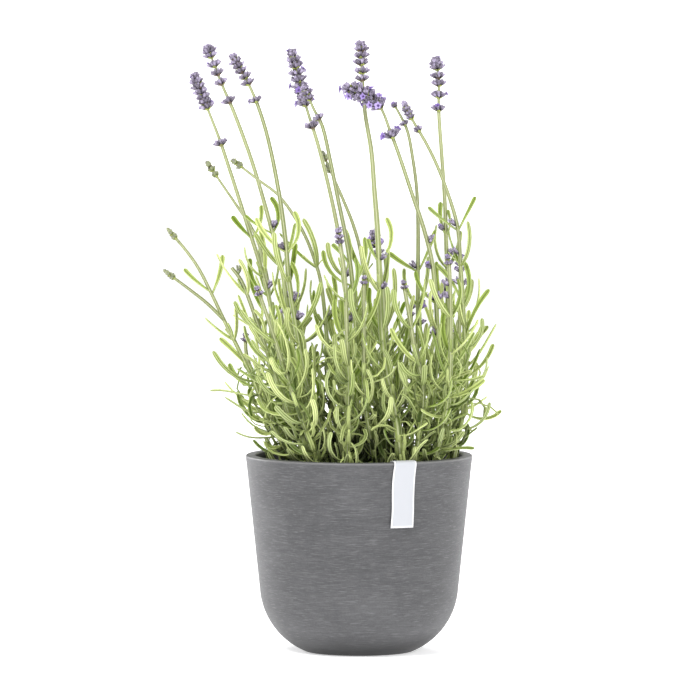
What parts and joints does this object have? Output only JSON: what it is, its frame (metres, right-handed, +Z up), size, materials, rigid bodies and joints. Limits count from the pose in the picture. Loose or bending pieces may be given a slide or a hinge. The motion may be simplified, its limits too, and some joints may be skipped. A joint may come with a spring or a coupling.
{
  "type": "potted lavender",
  "caption": "Flowering lavender with narrow leaves and violet flower heads on bare stalks, in a round-bottomed grey pot with a ribbon label over its rim.",
  "frame": {"origin": "middle of the pot's flat foot, on the surface that the pot stands on", "axes": "+Z up, along the pot's axis; -Y is the front of the plant, where the label shows to the right of the middle"},
  "size_m": [0.2223, 0.1761, 0.4042],
  "materials": {
    "pot": "matte, finely brushed, stone look",
    "soil": "damp fibrous peat",
    "label": "smooth woven ribbon",
    "leaf": "soft matte leaf, finely downy",
    "flower": "downy violet calyces and petals",
    "bud": "downy grey-green buds"
  },
  "bodies": {
    "root": {"pot": "pot", "soil": "soil", "label": "label", "flower_stem_1": "leaf", "flower_stem_2": "leaf", "flower_stem_3": "leaf", "flower_stem_4": "leaf", "flower_stem_5": "leaf", "flower_stem_6": "leaf", "flower_stem_7": "leaf", "flower_stem_8": "leaf", "flower_stem_9": "leaf", "flower_stem_10": "leaf", "flower_stem_11": "leaf", "flower_head_1": "flower", "flower_head_2": "flower", "flower_head_3": "flower", "flower_head_4": "flower", "flower_head_5": "flower", "flower_head_6": "bud", "flower_head_7": "flower", "flower_head_8": "flower", "flower_head_9": "flower", "flower_head_10": "flower", "flower_head_11": "flower", "bud_stem_1": "leaf", "bud_stem_2": "leaf", "bud_stem_3": "leaf", "bud_stem_4": "leaf", "bud_stem_5": "leaf", "bud_stem_6": "leaf", "bud_stem_7": "leaf", "bud_stem_8": "leaf", "bud_stem_9": "leaf", "bud_stem_10": "leaf", "bud_stem_11": "leaf", "bud_head_1": "bud", "bud_head_2": "bud", "bud_head_3": "flower", "bud_head_4": "flower", "bud_head_5": "flower", "bud_head_6": "flower", "bud_head_7": "flower", "bud_head_8": "flower", "bud_head_9": "flower", "bud_head_10": "flower", "bud_head_11": "flower", "leafy_shoot_1": "leaf", "leafy_shoot_2": "leaf", "leafy_shoot_3": "leaf", "leafy_shoot_4": "leaf", "leafy_shoot_5": "leaf"}
  },
  "joints": []
}
